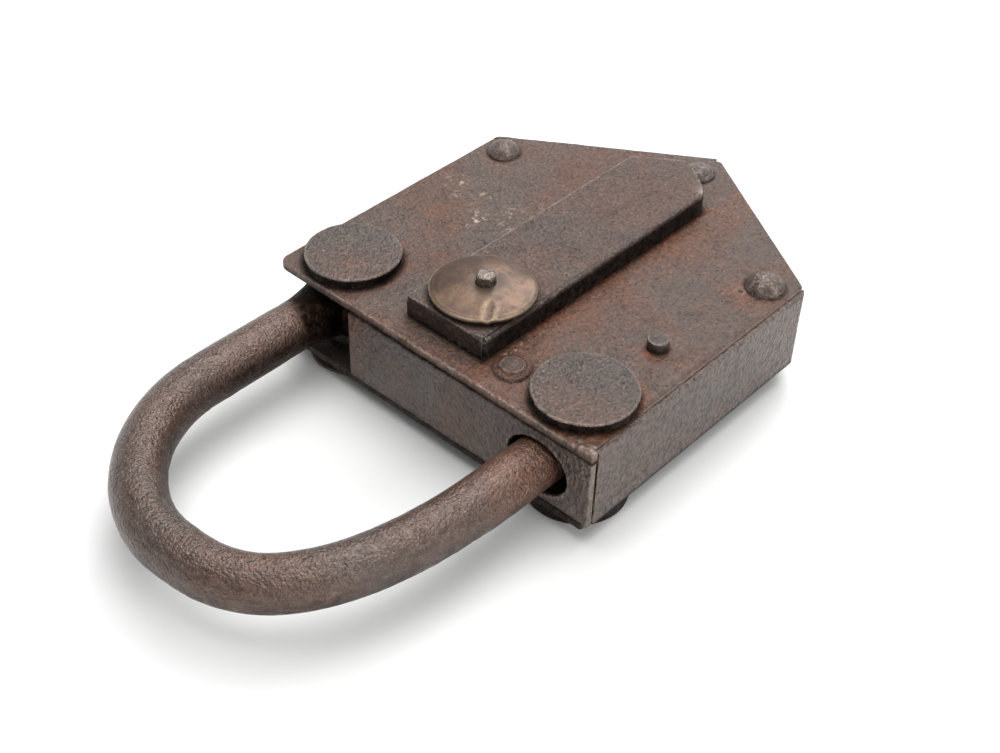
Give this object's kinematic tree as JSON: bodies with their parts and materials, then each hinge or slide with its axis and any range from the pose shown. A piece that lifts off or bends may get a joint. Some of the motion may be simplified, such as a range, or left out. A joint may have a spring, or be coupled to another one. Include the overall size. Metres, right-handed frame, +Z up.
{
  "type": "box padlock",
  "caption": "Forged and riveted box padlock with a gabled case, a pivoting shackle and a swinging keyhole cover over a domed washer.",
  "frame": {"origin": "on the ground under the middle of the bounding box, with the lock lying flat on its underside discs and rivet heads", "axes": "+X from the heel of the shackle to its toe, +Y from the bow of the shackle to the apex of the case, +Z up through the thickness to the keyhole side"},
  "size_m": [0.09, 0.171, 0.0352],
  "materials": {
    "rusted_plate": "brown rust patina on hammered sheet",
    "forged_rod": "forged and pitted, rubbed smooth on top",
    "dark_scale": "dark forge scale",
    "worn_rivet": "worn grey iron",
    "dull_bronze": "dull brown bronze, dented"
  },
  "bodies": {
    "case": {"top_plate": "rusted_plate", "bottom_plate": "dark_scale", "front_wall": "rusted_plate", "left_wall": "rusted_plate", "right_wall": "rusted_plate", "heel_pin": "dark_scale", "heel_collar_low": "dark_scale", "heel_collar_high": "dark_scale", "toe_disc_top": "dark_scale", "toe_disc_bottom": "dark_scale", "corner_rivet_left": "worn_rivet", "corner_rivet_apex": "worn_rivet", "corner_rivet_right": "worn_rivet", "front_rivet": "worn_rivet", "spring_post": "worn_rivet", "cover_pivot": "worn_rivet", "domed_washer": "dull_bronze", "bolt_keeper_front": "dark_scale", "bolt_keeper_rear": "dark_scale", "detent_spring": "worn_rivet", "spring_stud": "dark_scale", "kicker_spring": "worn_rivet", "key_post": "dark_scale", "ward_low": "dark_scale", "ward_high": "dark_scale"},
    "shackle": {"shackle": "forged_rod"},
    "cover": {"keyhole_cover": "dark_scale"},
    "bolt": {"bolt": "worn_rivet"}
  },
  "joints": [
    {"name": "shackle_hinge", "type": "hinge", "parent": "case", "child": "shackle", "pos_m": [-0.033, -0.00399, 0.0136], "axis": [0, 0, 1], "range_deg": [-105, 0], "deforming": ["kicker_spring"]},
    {"name": "cover_hinge", "type": "hinge", "parent": "case", "child": "cover", "pos_m": [0.0005, 0.00201, 0.027], "axis": [0, 0, 1], "range_deg": [-21, 6]},
    {"name": "bolt_slide", "type": "slide", "parent": "case", "child": "bolt", "axis": [1, 0, 0], "range_m": [0, 0.004], "deforming": ["detent_spring"]}
  ]
}
